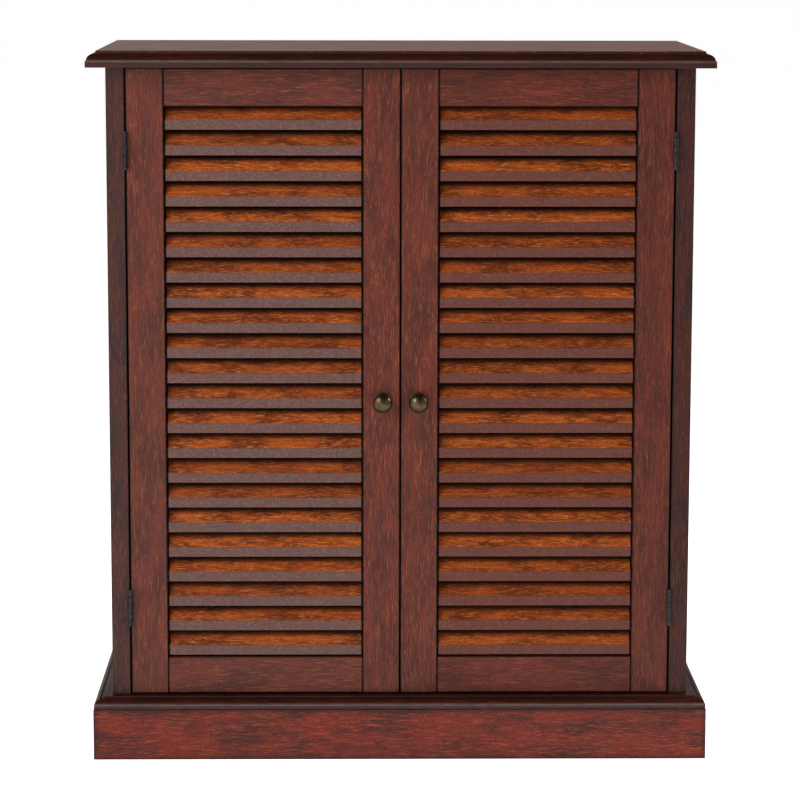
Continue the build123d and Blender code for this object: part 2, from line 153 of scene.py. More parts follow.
class CabinetMoulding(bpy.types.PropertyGroup):
    """Section of the moulded edges and the eased corners"""

    arris: length("Arris", "Radius of an eased corner", 0.8 * mm)
    nose_round: length("Nose rounding", "Radius at the top of the nose", 1.6 * mm)
    ovolo_in: length("Ovolo width", "How far the ovolo runs in over the board", 11.5 * mm)
    top_nose: length("Top nose", "Height of the nose round the top", 9.8 * mm)
    top_ovolo: length("Top ovolo", "Height of the ovolo round the top", 8.9 * mm)
    base_nose: length("Base nose", "Height of the nose round the base board", 7.6 * mm)
    base_ovolo: length("Base ovolo", "Height of the ovolo round the base board", 6.8 * mm)


class CabinetStage(bpy.types.PropertyGroup):
    """Camera, lights and floor"""

    camera_place: bpy.props.FloatVectorProperty(
        name="Camera place", description="Where the camera stands",
        default=(-0.0641, -4.3093, 1.132), subtype="TRANSLATION", unit="LENGTH",
    )
    camera_pitch: angle("Camera pitch", "How far the camera looks down", radians(8.76))
    camera_yaw: angle("Camera yaw", "How far the camera turns to the right", radians(0.88))
    camera_roll: angle("Camera roll", "How far the camera leans to the right", radians(-0.1147))
    lens: bpy.props.FloatProperty(
        name="Lens", description="Focal length on a 36 mm sensor", default=139.07, min=1,
    )
    key_power: brightness("Key light", "Power of the soft light, upper left", 130, "POWER")
    fill_power: brightness("Fill light", "Power of the weaker light, right", 6, "POWER")
    rim_power: brightness("Rim light", "Power of the small light, right-hand end", 70, "POWER")
    walls: brightness("Walls", "Brightness of the pale walls in front", 1.0)
    rear_walls: share("Rear walls", "Brightness of the rear walls beside the front ones", 1.0)
    ceiling: share("Ceiling", "Brightness overhead beside the walls", 0.06)
    floor_tone: tone("Floor", "Colour of the floor", (0.9, 0.9, 0.9))
    floor_glow: brightness("Floor glow", "Light that comes up through the floor", 0.85)


# --- modelling by hand
def clear_selection():
    bpy.ops.object.select_all(action="DESELECT")


def make_active(piece):
    clear_selection()
    piece.select_set(True)
    bpy.context.view_layer.objects.active = piece


def settle(name):
    """Names the piece just added and puts its place and size into its mesh."""
    piece = bpy.context.object
    piece.name = name
    piece.data.name = name
    bpy.ops.object.transform_apply(location=True, rotation=True, scale=True)
    return piece


def add_block(name, low, high):
    low, high = Vector(low), Vector(high)
    clear_selection()
    bpy.ops.mesh.primitive_cube_add(size=1, location=(low + high) / 2, scale=high - low)
    return settle(name)


@contextmanager
def editing(piece):
    """Edit mode on one piece, starting with nothing selected."""
    make_active(piece)
    bpy.ops.object.mode_set(mode="EDIT")
    bpy.ops.mesh.select_all(action="DESELECT")
    yield
    bpy.ops.object.mode_set(mode="OBJECT")


def pick_faces(piece, chosen):
    """Selects the faces whose middle and normal pass the test."""
    bpy.ops.mesh.select_mode(type="FACE")
    bpy.ops.mesh.select_all(action="DESELECT")
    work = bmesh.from_edit_mesh(piece.data)
    for face in work.faces:
        face.select_set(chosen(face.calc_center_median(), face.normal))
    bmesh.update_edit_mesh(piece.data)


def pick_edges(piece, chosen):
    """Selects the edges whose middle and direction pass the test."""
    bpy.ops.mesh.select_mode(type="EDGE")
    bpy.ops.mesh.select_all(action="DESELECT")
    work = bmesh.from_edit_mesh(piece.data)
    for edge in work.edges:
        start, end = (vertex.co for vertex in edge.verts)
        edge.select_set(chosen((start + end) / 2, (end - start).normalized()))
    bmesh.update_edit_mesh(piece.data)


def extrude(step):
    bpy.ops.mesh.extrude_region_move(TRANSFORM_OT_translate={"value": step})


def bevel(width, segments):
    bpy.ops.mesh.bevel(offset=width, segments=segments, profile=0.5, affect="EDGES")


def is_along(way, axis):
    """True for an edge direction along the axis."""
    return abs(getattr(way, axis)) > 0.9


def face_outwards(piece):
    with editing(piece):
        bpy.ops.mesh.select_all(action="SELECT")
        bpy.ops.mesh.normals_make_consistent(inside=False)


def apply_modifier(piece, kind, **settings):
    make_active(piece)
    modifier = piece.modifiers.new(kind.title(), kind)
    for name, value in settings.items():
        setattr(modifier, name, value)
    bpy.ops.object.modifier_apply(modifier=modifier.name)


def smooth(piece, angle=radians(32)):
    """Smooth shading over the curves, with the flats kept flat."""
    make_active(piece)
    bpy.ops.object.shade_smooth_by_angle(angle=angle)
    apply_modifier(piece, "WEIGHTED_NORMAL", keep_sharp=True)


def copy_piece(source, name, matrix):
    """A copy with its own mesh, moved by the matrix."""
    piece = source.copy()
    piece.data = source.data.copy()
    piece.name = name
    piece.data.name = name
    piece.data.transform(matrix)
    if matrix.determinant() < 0:
        piece.data.flip_normals()
    bpy.context.scene.collection.objects.link(piece)
    return piece


def join(name, pieces):
    clear_selection()
    for piece in pieces:
        piece.select_set(True)
    bpy.context.view_layer.objects.active = pieces[0]
    bpy.ops.object.join()
    joined = bpy.context.object
    joined.name = name
    joined.data.name = name
    return joined


def remove(piece):
    bpy.data.objects.remove(piece)


def turned(name, outline, sides):
    """A turned piece on the Z axis: a disc is extruded and resized along (radius, height)."""
    (radius, level), *steps = outline
    clear_selection()
    bpy.ops.mesh.primitive_circle_add(
        vertices=sides, radius=radius, fill_type="NGON", location=(0, 0, level)
    )
    piece = settle(name)
    with editing(piece):
        bpy.ops.mesh.select_all(action="SELECT")
        for next_radius, next_level in steps:
            extrude((0, 0, next_level - level))
            if next_radius == 0:
                bpy.ops.mesh.merge(type="CENTER")
                break
            ratio = next_radius / radius
            bpy.ops.transform.resize(value=(ratio, ratio, 1), center_override=(0, 0, next_level))
            radius, level = next_radius, next_level
    face_outwards(piece)
    return piece


def arc(centre, radii, start, end, steps):
    """Points (across, up) on part of an ellipse, angles in degrees, without the first one."""
    angles = [radians(start + (end - start) * (index + 1) / steps) for index in range(steps)]
    return [
        (centre[0] + radii[0] * cos(angle), centre[1] + radii[1] * sin(angle)) for angle in angles
    ]


def facing(direction, point):
    """Matrix that turns +Z to the direction and moves the origin to the point."""
    turn = Vector((0, 0, 1)).rotation_difference(Vector(direction)).to_matrix().to_4x4()
    return Matrix.Translation(point) @ turn


def solid_boxes(node):
    """(low, high) corners of each separate solid of a frame node."""
    work = bmesh.new()
    work.from_mesh(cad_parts[node].data)
    bmesh.ops.remove_doubles(work, verts=work.verts, dist=1e-6)
    left = set(work.verts)
    boxes = []
    while left:
        island = {left.pop()}
        edge_of_island = list(island)
        while edge_of_island:
            vertex = edge_of_island.pop()
            for edge in vertex.link_edges:
                other = edge.other_vert(vertex)
                if other not in island:
                    island.add(other)
                    edge_of_island.append(other)
        left -= island
        spots = [vertex.co for vertex in island]
        low = Vector(min(spot[axis] for spot in spots) for axis in range(3))
        high = Vector(max(spot[axis] for spot in spots) for axis in range(3))
        boxes.append((low, high))
    work.free()
    return sorted(boxes, key=lambda box: tuple(round(value, 5) for value in box[0]))


def dress(piece, material):
    piece.data.materials.clear()
    piece.data.materials.append(material)


def fit(piece, body, slot, material, *nodes):
    """Hangs a finished piece on its body, in place of the frame nodes it stands for."""
    dress(piece, material)
    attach(piece, body)
    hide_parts(*nodes)
    return piece


# --- shader helpers
def feed(tree, node, values):
    """Gives inputs their values, as numbers or as the sockets that feed them."""
    for name, value in values.items():
        if isinstance(value, bpy.types.NodeSocket):
            tree.links.new(value, node.inputs[name])
        else:
            node.inputs[name].default_value = value


def put(tree, kind, values=None, **settings):
    """Adds a node with its settings and the values of its inputs."""
    node = tree.nodes.new(kind)
    for name, value in settings.items():
        setattr(node, name, value)
    feed(tree, node, values or {})
    return node


def calculate(tree, operation, *values, kind="Math"):
    values = dict(enumerate(values))
    return put(tree, f"ShaderNode{kind}", values, operation=operation).outputs[0]


def multiply(tree, first, second):
    return calculate(tree, "MULTIPLY", first, second)


def between(tree, value, low, high, bottom=0.0, top=1.0):
    """The value's place between low and high, smoothed and clamped, as bottom to top."""
    values = {"Value": value, "From Min": low, "From Max": high, "To Min": bottom, "To Max": top}
    node = put(tree, "ShaderNodeMapRange", values, interpolation_type="SMOOTHSTEP")
    return node.outputs["Result"]


def band(tree, value, start, full, fading, end):
    """One between full and fading, and nothing before the start and past the end."""
    rising = between(tree, value, start, full)
    return multiply(tree, rising, between(tree, value, fading, end, 1.0, 0.0))


def blend_colours(tree, share, first, second, way="MIX"):
    values = {0: share, 6: first, 7: second}
    return put(tree, "ShaderNodeMix", values, data_type="RGBA", blend_type=way).outputs[2]


def blend_values(tree, share, first, second):
    values = {0: share, 2: first, 3: second}
    return put(tree, "ShaderNodeMix", values, data_type="FLOAT").outputs[0]


def stretch(tree, vector, sizes):
    """The vector multiplied by a number for each axis."""
    return calculate(tree, "MULTIPLY", vector, sizes, kind="VectorMath")


def shift(tree, vector, other):
    return calculate(tree, "ADD", vector, other, kind="VectorMath")


def cloud(tree, vector, detail=2.0, roughness=0.5, scale=1.0):
    values = {"Vector": vector, "Scale": scale, "Detail": detail, "Roughness": roughness}
    return put(tree, "ShaderNodeTexNoise", values).outputs[0]


def object_place(tree):
    return put(tree, "ShaderNodeTexCoord").outputs["Object"]


def axes(tree, vector):
    """The vector's X, Y and Z."""
    return put(tree, "ShaderNodeSeparateXYZ", {"Vector": vector}).outputs


def new_group(name, inputs, outputs):
    """A shader group, the sockets to read inside it and its last node. The defaults of its
    inputs are numbers, vectors of three or colours of four.
    """
    group = bpy.data.node_groups.new(name, "ShaderNodeTree")
    kinds = {3: "NodeSocketVector", 4: "NodeSocketColor"}
    for label, default in inputs.items():
        kind = kinds[len(default)] if isinstance(default, tuple) else "NodeSocketFloat"
        socket = group.interface.new_socket(label, in_out="INPUT", socket_type=kind)
        socket.default_value = default
    for label in outputs:
        kind = "NodeSocketColor" if label == "Colour" else "NodeSocketFloat"
        group.interface.new_socket(label, in_out="OUTPUT", socket_type=kind)
    start, end = group.nodes.new("NodeGroupInput"), group.nodes.new("NodeGroupOutput")
    return group, start.outputs, end


origin = (0, 0, 0)
grey = (0.5, 0.5, 0.5, 1)


def grain_group():
    """Stained timber: growth figure, bright fibres, pores and stain patches along X."""
    inputs = {"Vector": origin, "Light": grey, "Middle": grey, "Dark": grey}
    inputs |= {"Fibre": 0.6, "Figure": 0.3, "Pores": 0.5}
    group, given, end = new_group("Stained grain", inputs, ("Colour", "Height", "Sheen"))
    vector, dark = given["Vector"], given["Dark"]
    sway = cloud(group, stretch(group, vector, (4, 18, 18)), detail=1)
    lean = put(group, "ShaderNodeCombineXYZ", {"Y": sway, "Z": sway}).outputs[0]
    bent = shift(group, vector, stretch(group, lean, (1, 0.018, 0.018)))

    def layer(sizes, detail, roughness):
        return cloud(group, stretch(group, bent, sizes), detail, roughness)

    patches = layer((11, 36, 36), 5, 0.62)
    fibres = layer((60, 820, 820), 2, 0.7)
    veins = layer((7, 430, 430), 3, 0.6)
    strands = layer((24, 300, 300), 3, 0.65)
    pores = layer((280, 1000, 1000), 2, 0.6)
    values = {"Vector": stretch(group, bent, (4, 62, 62)), "Scale": 1.0, "Distortion": 7.0}
    values |= {"Detail": 3.0, "Detail Scale": 0.9, "Detail Roughness": 0.6}
    wave = put(group, "ShaderNodeTexWave", values, wave_type="BANDS", bands_direction="DIAGONAL")
    rings = between(group, wave.outputs["Fac"], 0.62, 1.0, 0.0, 0.8)
    lines = calculate(group, "MAXIMUM", rings, between(group, veins, 0.5, 0.68))
    body = blend_colours(group, between(group, patches, 0.38, 0.6), dark, given["Middle"])
    body = blend_colours(group, multiply(group, lines, given["Figure"]), body, dark)
    strands = between(group, strands, 0.36, 0.64, 0.15, 1.0)
    gleam = multiply(group, between(group, fibres, 0.44, 0.66), strands)
    body = blend_colours(group, multiply(group, gleam, given["Fibre"]), body, given["Light"])
    pits = multiply(group, between(group, pores, 0.5, 0.62), given["Pores"])
    made = {
        "Colour": blend_colours(group, pits, body, dark),
        "Height": calculate(group, "SUBTRACT", multiply(group, fibres, 0.5), pits),
        "Sheen": between(group, patches, 0.2, 0.8, 0.06, -0.04),
    }
    feed(group, end, made)
    return group


def edge_group():
    """Darkening along the edges of a board, given its middle and half size: partly dark stain
    gathered at the arrises, partly painted shade in the joints and under overhangs.
    """
    inputs = {"Vector": origin, "Middle": origin, "Half": (1, 1, 1), "Start": 0.0, "Width": 0.003}
    group, given, end = new_group("Board edges", inputs, ("Shade",))
    offset = calculate(group, "SUBTRACT", given["Vector"], given["Middle"], kind="VectorMath")
    offset = calculate(group, "ABSOLUTE", offset, kind="VectorMath")
    x, y, z = axes(group, calculate(group, "SUBTRACT", given["Half"], offset, kind="VectorMath"))
    nearer = calculate(group, "MINIMUM", x, y)
    farther = calculate(group, "MAXIMUM", x, y)
    second = calculate(group, "MAXIMUM", nearer, calculate(group, "MINIMUM", farther, z))
    ragged = cloud(group, given["Vector"], detail=2, scale=260)
    ragged = multiply(group, calculate(group, "SUBTRACT", ragged, 0.5), 0.003)
    second = calculate(group, "ADD", second, ragged)
    last = calculate(group, "ADD", given["Start"], given["Width"])
    feed(group, end, {"Shade": between(group, second, given["Start"], last, 1.0, 0.0)})
    return group


def tarnish_group():
    """Old metal: a base tone broken by darker and brighter clouds and fine scratches."""
    inputs = {"Vector": origin, "Bright": grey, "Dark": grey, "Wear": 0.5, "Size": 300.0}
    group, given, end = new_group("Tarnish", inputs, ("Colour", "Height", "Roughness"))
    values = {0: given["Vector"], "Scale": given["Size"]}
    scaled = put(group, "ShaderNodeVectorMath", values, operation="SCALE").outputs[0]
    clouds = cloud(group, scaled, detail=5, roughness=0.6)
    wear_and_highlight = multiply(group, between(group, clouds, 0.35, 0.7), given["Wear"])
    made = {
        "Colour": blend_colours(group, wear_and_highlight, given["Dark"], given["Bright"]),
        "Height": cloud(group, scaled, detail=2, scale=6.0),
        "Roughness": between(group, clouds, 0.3, 0.75, 0.5, 0.3),
    }
    feed(group, end, made)
    return group


groups = {}


def use_group(tree, build, values):
    """Outputs of a shader group, which is built once for all the materials that need it."""
    if build not in groups:
        groups[build] = build()
    return put(tree, "ShaderNodeGroup", values, node_tree=groups[build]).outputs


def new_material(name):
    """A material with its node tree and its shader."""
    material = bpy.data.materials.new(name)
    material.use_nodes = True
    tree = material.node_tree
    tree.nodes.clear()
    shader = put(tree, "ShaderNodeBsdfPrincipled")
    put(tree, "ShaderNodeOutputMaterial", {"Surface": shader.outputs[0]})
    return material, tree, shader


def bump(tree, shader, height, distance):
    values = {"Strength": 1.0, "Distance": distance, "Height": height}
    feed(tree, shader, {"Normal": put(tree, "ShaderNodeBump", values).outputs[0]})


grain_turns = {"X": origin, "Y": (0, 0, radians(-90)), "Z": (0, radians(90), 0)}


def grain_vector(tree, turn, seed):
    """Object coordinates turned so that X runs along the board, moved to a fresh piece of log."""
    offset = (seed * 1.37 % 7, seed * 0.613 % 5, seed * 0.871 % 3)
    values = {"Vector": object_place(tree), "Rotation": turn, "Location": offset}
    return put(tree, "ShaderNodeMapping", values).outputs[0]


@dataclass(frozen=True)
class Finish:
    """A stain: its three tones, how much grain shows, and the lacquer over it."""

    light: tuple
    middle: tuple
    dark: tuple
    fibre: float = 0.8
    figure: float = 0.35
    pores: float = 0.7
    roughness: float = 0.0
    gloss: float = 1.0
    # The edge fields set the darkening along a board's edges: partly stain, partly painted shade.
    edges: float = 0.9
    edge_start: float = 0.3 * mm
    edge_width: float = 1.7 * mm
    edge_tint: tuple = (0.1, 0.09, 0.09)


def stain_finish(kind, **changes):
    """The finish whose three tones are the stain settings of that kind."""
    stain = bpy.context.scene.cabinet_stain
    tones = (getattr(stain, f"{kind}_{part}")[:] for part in tone_parts)
    return Finish(*tones, **changes)


def tinted(finish, tint):
    """The same finish with its three tones scaled by a tint: for a board that took the stain
    differently, for the painted shade on the right-hand side, and for the painted reflection and
    shade on the slats' fronts.
    """
    tones = {
        part: tuple(level * share for level, share in zip(getattr(finish, part), tint))
        for part in tone_parts
    }
    return replace(finish, **tones)


def grain(tree, vector, finish):
    values = {part.title(): (*getattr(finish, part), 1) for part in tone_parts}
    values |= {part.title(): getattr(finish, part) for part in ("fibre", "figure", "pores")}
    return use_group(tree, grain_group, values | {"Vector": vector})


def lacquer(tree, shader, finish, colour, sheen, height):
    """Satin lacquer over a coloured ground."""
    stain = bpy.context.scene.cabinet_stain
    roughness = calculate(tree, "ADD", sheen, stain.roughness + finish.roughness)
    gloss = stain.gloss * finish.gloss
    values = {"Base Color": colour, "Roughness": roughness, "Specular IOR Level": gloss}
    feed(tree, shader, values)
    bump(tree, shader, height, stain.pore_depth)


def timber(name, axis, seed, finish, low, high):
    """Stained timber with its grain along one axis, darker along the board's edges."""
    material, tree, shader = new_material(name)
    low, high = Vector(low), Vector(high)
    made = grain(tree, grain_vector(tree, grain_turns[axis], seed), finish)
    values = {
        "Vector": object_place(tree),
        "Middle": (low + high) / 2,
        "Half": (high - low) / 2,
        "Start": finish.edge_start,
        "Width": finish.edge_width,
    }
    # Darker along the edges: partly stain gathered at the arrises, partly painted shade in the
    # joints and under overhangs.
    shade = multiply(tree, use_group(tree, edge_group, values)["Shade"], finish.edges)
    colour = blend_colours(tree, shade, made["Colour"], (*finish.edge_tint, 1), "MULTIPLY")
    lacquer(tree, shader, finish, colour, made["Sheen"], made["Height"])
    return material


def metal(name, bright, dark, wear, size, sheen=0.0):
    """Metal with a broken surface that shows slight wear."""
    material, tree, shader = new_material(name)
    values = {"Vector": object_place(tree), "Bright": (*bright, 1), "Dark": (*dark, 1)}
    made = use_group(tree, tarnish_group, values | {"Wear": wear, "Size": size})
    roughness = calculate(tree, "ADD", made["Roughness"], sheen)
    values = {"Base Color": made["Colour"], "Roughness": roughness, "Metallic": 1.0}
    feed(tree, shader, values)
    bump(tree, shader, made["Height"], 0.02 * mm)
    return material


# --- case
def moulding_steps(nose, ovolo, thickness):
    """(inset, height) up a moulded edge: arris, nose, ovolo, upright fillet, arris."""
    moulding = bpy.context.scene.cabinet_moulding
    arris, nose_round, width = moulding.arris, moulding.nose_round, moulding.ovolo_in
    shoulder = nose_round + width
    steps = [(arris, 0.0)]
    steps += arc((arris, arris), (arris, arris), 270, 180, 3)
    steps.append((0.0, nose - nose_round))
    steps += arc((nose_round, nose - nose_round), (nose_round, nose_round), 180, 90, 5)
    steps += arc((shoulder, nose), (width, ovolo), 180, 90, 12)
    steps.append((shoulder, thickness - arris))
    steps += arc((shoulder + arris, thickness - arris), (arris, arris), 180, 90, 3)
    return steps


def moulded_board(name, node, nose, ovolo):
    """A board moulded on the front and both ends, built up from its underside."""
    low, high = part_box(node)
    (inset, level), *steps = moulding_steps(nose, ovolo, high.z - low.z)
    board = add_block(
        name,
        (low.x + inset, low.y + inset, low.z),
        (high.x - inset, high.y, low.z + steps[0][1]),
    )
    with editing(board):
        pick_faces(board, lambda middle, normal: normal.z > 0.5)
        level = steps[0][1]
        width, depth = high.x - low.x, high.y - low.y
        for index, (next_inset, next_level) in enumerate(steps):
            if index:
                extrude((0, 0, next_level - level))
            across = (width - 2 * next_inset) / (width - 2 * inset)
            along = (depth - next_inset) / (depth - inset)
            bpy.ops.transform.resize(
                value=(across, along, 1), center_override=(0, high.y, low.z + next_level)
            )
            inset, level = next_inset, next_level
    face_outwards(board)
    smooth(board, radians(25))
    return board


def moulded_timber(name, seed, node, finish, nose, ovolo):
    """Timber of a moulded board: dull in the ovolo, with a painted highlight along the nose's
    upper edge.
    """
    stain = bpy.context.scene.cabinet_stain
    low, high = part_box(node)
    material = timber(name, "X", seed, finish, low, high)
    tree = material.node_tree
    shader = next(item for item in tree.nodes if item.type == "BSDF_PRINCIPLED")
    place = object_place(tree)
    level = axes(tree, place)["Z"]
    lip, crown = low.z + nose, low.z + nose + ovolo
    # Painted highlight: a band along the nose's upper edge, broken up by noise, in a lighter,
    # greyer colour with a little more coat.
    nose_highlight = band(tree, level, lip - 3.6 * mm, lip - 1.4 * mm, lip + 0.1 * mm, lip + 0.6 * mm)
    highlight_breakup = cloud(tree, stretch(tree, place, (60, 300, 300)), detail=3)
    wear_and_highlight = multiply(tree, nose_highlight, between(tree, highlight_breakup, 0.25, 0.6, 0.35, 0.9))
    ground = shader.inputs["Base Color"].links[0].from_socket
    colour = blend_colours(tree, wear_and_highlight, ground, (*stain.moulding_nose_highlight, 1))
    hollow = band(tree, level, lip + 0.1 * mm, lip + 0.8 * mm, crown - 0.6 * mm, crown)
    coat = calculate(tree, "SUBTRACT", 0.5, multiply(tree, hollow, 0.44))
    coat = calculate(tree, "ADD", coat, multiply(tree, nose_highlight, 0.25))
    coat = calculate(tree, "SUBTRACT", coat, between(tree, level, crown, high.z, 0.0, 0.2))
    feed(tree, shader, {"Base Color": colour, "Coat Weight": coat, "Coat Roughness": 0.42})
    return material


class CABINET_OT_mouldings(bpy.types.Operator):
    """Model the moulded top and the moulded base board"""

    bl_idname = "cabinet.mouldings"
    bl_label = "Moulded boards"

    def execute(self, context):
        moulding = context.scene.cabinet_moulding
        rim = moulding.nose_round + moulding.ovolo_in
        top = stain_finish(
            "moulding", roughness=-0.04, gloss=0.1, edges=1.0,
            edge_start=rim + 0.2 * mm, edge_width=0.5 * mm, edge_tint=(0.2, 0.17, 0.15),
        )
        # The base board keeps the default edge darkening, which also paints the shadow line under
        # its nose, above the plinth.
        base = stain_finish("base", gloss=0.18)
        self.board("moulded_top", "top_panel", 3, top, moulding.top_nose, moulding.top_ovolo)
        self.board("moulded_base", "base_board", 8, base, moulding.base_nose, moulding.base_ovolo)
        return {"FINISHED"}

    def board(self, name, node, seed, finish, nose, ovolo):
        board = moulded_board(name, node, nose, ovolo)
        material = moulded_timber(f"Timber {node}", seed, node, finish, nose, ovolo)
        fit(board, "cabinet", "case_wood", material, node)


class CABINET_OT_boards(bpy.types.Operator):
    """Stain the flat boards of the case, the doors and the inside, with painted shade along some
    edges and on the right-hand side
    """

    bl_idname = "cabinet.boards"
    bl_label = "Boards"

    def execute(self, context):
        self.seed = 10
        door, case = stain_finish("door", fibre=0.62, pores=0.6), stain_finish("case", fibre=0.65)
        # Wide dark band along the plinth's edges: painted shade, the contact shade by the floor
        # and the shade under the cap.
        plinth = stain_finish(
            "plinth", figure=0.15, gloss=0.85,
            edges=0.85, edge_width=8 * mm, edge_tint=(0.3, 0.28, 0.28),
        )
        for side in ("left", "right"):
            # On the right the doors and case are darker and less glossy: partly a darker take of
            # the stain, partly painted shade, as the light comes from the left.
            if side == "right":
                door = replace(tinted(door, (0.93, 0.84, 0.8)), gloss=0.85)
                case = replace(tinted(case, (0.93, 0.84, 0.8)), gloss=0.8)
            centre = tinted(stain_finish("door", fibre=0.7), (1.05, 0.97, 0.88))
            self.stain(f"{side}_door_hinge_stile", "Z", door)
            self.stain(f"{side}_door_meeting_stile", "Z", replace(centre, gloss=0.93))
            for rail in ("top_rail", "bottom_rail"):
                tenons = Vector((rail_tenon + shadow_gap, 0, 0))
                self.stain(f"{side}_door_{rail}", "X", door, tenons)
            self.stain(f"{side}_front_stile", "Z", case)
            self.stain(f"{side}_side_panel", "Z", stain_finish("door", edges=0.3))
            self.stain(f"plinth_{side}_board", "Y", plinth)
        self.stain("plinth_front_board", "X", plinth)
        self.stain("plinth_rear_board", "X", plinth)
        self.stain_inside()
        return {"FINISHED"}

    def stain(self, node, axis, finish, tenons=Vector((0, 0, 0))):
        """Stains a board. The tenons at its ends aren't part of its edges."""
        self.seed += 1
        low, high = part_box(node)
        material = timber(f"Timber {node}", axis, self.seed, finish, low + tenons, high - tenons)
        dress(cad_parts[node], material)

    def stain_inside(self):
        shelf = Finish((0.3, 0.09, 0.04), (0.15, 0.035, 0.017), (0.07, 0.02, 0.012), roughness=0.1)
        back = Finish(
            (0.36, 0.15, 0.07), (0.22, 0.075, 0.035), (0.12, 0.04, 0.02),
            fibre=0.4, figure=0.5, pores=0.3, roughness=0.2, edges=0.2,
        )
        pine = Finish(
            (0.7, 0.45, 0.24), (0.56, 0.34, 0.17), (0.34, 0.18, 0.08),
            fibre=0.3, figure=0.7, pores=0.2, roughness=0.25, edges=0.1,
        )
        beech = replace(pine, figure=0.1, pores=0.5)
        for number in range(1, 5):
            self.stain(f"shelf_{number}", "X", shelf)
        self.stain("top_front_rail", "X", shelf)
        self.stain("top_rear_rail", "X", shelf)
        self.stain("back_panel", "Z", back)
        self.stain("plinth_corner_blocks", "Z", pine)
        self.stain("case_dowels", "Z", beech)


# --- slats
def slat_timber(name, seed, low, high, tint):
    """Slat finish: figured orange timber on the slopes, greyer flecked fronts. The fronts' grey is
    partly painted reflection; painted shade darkens each slope under the slat above and at the
    slat's ends.
    """
    material, tree, shader = new_material(name)
    place = object_place(tree)
    number = put(tree, "ShaderNodeAttribute", attribute_name="slat_number").outputs["Fac"]
    numbers = put(tree, "ShaderNodeCombineXYZ", {axis: number for axis in "XYZ"}).outputs[0]
    steps = stretch(tree, numbers, (0.737, 0.391, 0.213))
    values = {"Vector": place, "Rotation": (-slat_slope, 0, 0), "Location": (seed, 0, 0)}
    vector = shift(tree, put(tree, "ShaderNodeMapping", values).outputs[0], steps)
    finish = stain_finish("slat", fibre=0.8, figure=0.6, pores=0.65, gloss=0.6)
    slope = grain(tree, stretch(tree, vector, (1.7, 1.4, 1.4)), finish)
    # Fronts: greyer tones, partly flecked timber and partly painted reflection. The tint makes the
    # left door's fronts greyer, a painted reflection, and the right door's darker, painted shade.
    front_finish = tinted(stain_finish("edge", fibre=0.5, figure=0.0, pores=0.6), tint)
    front = grain(tree, stretch(tree, vector, (7, 1, 1)), front_finish)
    shade = between(tree, cloud(tree, steps, detail=0, scale=3.1), 0.35, 0.65, 0.0, 0.35)
    across, depth, _ = axes(tree, place)
    colour = blend_colours(tree, shade, slope["Colour"], (*finish.dark, 1))
    # Painted shade: each slope goes dark towards the back, under the slat above, except along its
    # back edge.
    at_back = between(tree, depth, high.y - 1.4 * mm, high.y - 0.7 * mm)
    under_slat_shade = between(tree, depth, low.y + 5.5 * mm, low.y + 13.2 * mm)
    under_slat_shade = calculate(tree, "SUBTRACT", under_slat_shade, at_back)
    from_middle = calculate(tree, "SUBTRACT", across, (low.x + high.x) / 2)
    from_middle = calculate(tree, "ABSOLUTE", from_middle)
    half = (high.x - low.x) / 2
    # Painted shade in the gaps at the slat's ends, by the stiles.
    end_gap_shade = between(tree, from_middle, half - 1.2 * mm, half - 0.2 * mm)
    at_front = between(tree, depth, low.y + 0.15 * mm, low.y + 0.6 * mm, 1.0, 0.0)
    colour = blend_colours(tree, at_front, colour, front["Colour"])
    # Both painted shades blend to a near-black colour.
    shaded = calculate(tree, "MAXIMUM", under_slat_shade, end_gap_shade)
    colour = blend_colours(tree, shaded, colour, (0.008, 0.003, 0.002, 1))
    lacquer(tree, shader, finish, colour, slope["Sheen"], slope["Height"])
    return material


def model_slat(low, high):
    """One slat: a block pushed up at the back, with eased front edges and end tenons."""
    rise = (high.y - low.y) * tan(slat_slope)
    slat = add_block("slat_pattern", low, (high.x, high.y, high.z - rise))
    middle = (low + high) / 2
    with editing(slat):
        pick_faces(slat, lambda spot, normal: normal.y > 0.5)
        bpy.ops.transform.translate(value=(0, 0, rise))
        pick_edges(slat, lambda spot, way: is_along(way, "x") and spot.y < low.y + mm)
        bevel(slat_round, 3)
        pick_edges(slat, lambda spot, way: is_along(way, "x") and spot.y > high.y - mm)
        bevel(slat_round, 2)
        for side in (-1, 1):
            pick_faces(slat, lambda spot, normal: normal.x * side > 0.9)
            bpy.ops.mesh.inset(thickness=1.5 * mm)
            shoulder = Vector((low.x if side < 0 else high.x, middle.y, middle.z))
            bpy.ops.transform.resize(value=(1, 0.78, 0.78), center_override=shoulder)
            extrude((side * (slat_tenon + slat_gap), 0, 0))
    smooth(slat)
    return slat


class CABINET_OT_slats(bpy.types.Operator):
    """Model one louvre slat and repeat it up both doors"""

    bl_idname = "cabinet.slats"
    bl_label = "Louvre slats"

    def execute(self, context):
        for side in ("left", "right"):
            self.louvre(side)
        return {"FINISHED"}

    def louvre(self, side):
        node = f"{side}_door_slats"
        boxes = sorted(solid_boxes(node), key=lambda box: box[0].z)
        tenons = Vector((slat_tenon + slat_gap, 0, 0))
        low, high = boxes[0][0] + tenons, boxes[0][1] - tenons
        pattern = model_slat(low, high)
        slats = []
        for number, (box_low, _) in enumerate(boxes, start=1):
            step = Matrix.Translation((0, 0, box_low.z - low.z))
            slat = copy_piece(pattern, f"{side}_slat_{number}", step)
            mark = slat.data.attributes.new("slat_number", "FLOAT", "POINT")
            mark.data.foreach_set("value", [float(number)] * len(slat.data.vertices))
            slats.append(slat)
        remove(pattern)
        # Left fronts greyer: painted reflection of the brighter left. Right fronts darker: painted
        # shade.
        seed, tint = (2.3, (1, 1.4, 1.55)) if side == "left" else (4.6, (0.94, 0.86, 0.8))
        material = slat_timber(f"Slat timber {side}", seed, low, high, tint)
        fit(join(f"{side}_louvre", slats), f"{side}_door", "slat_wood", material, node)


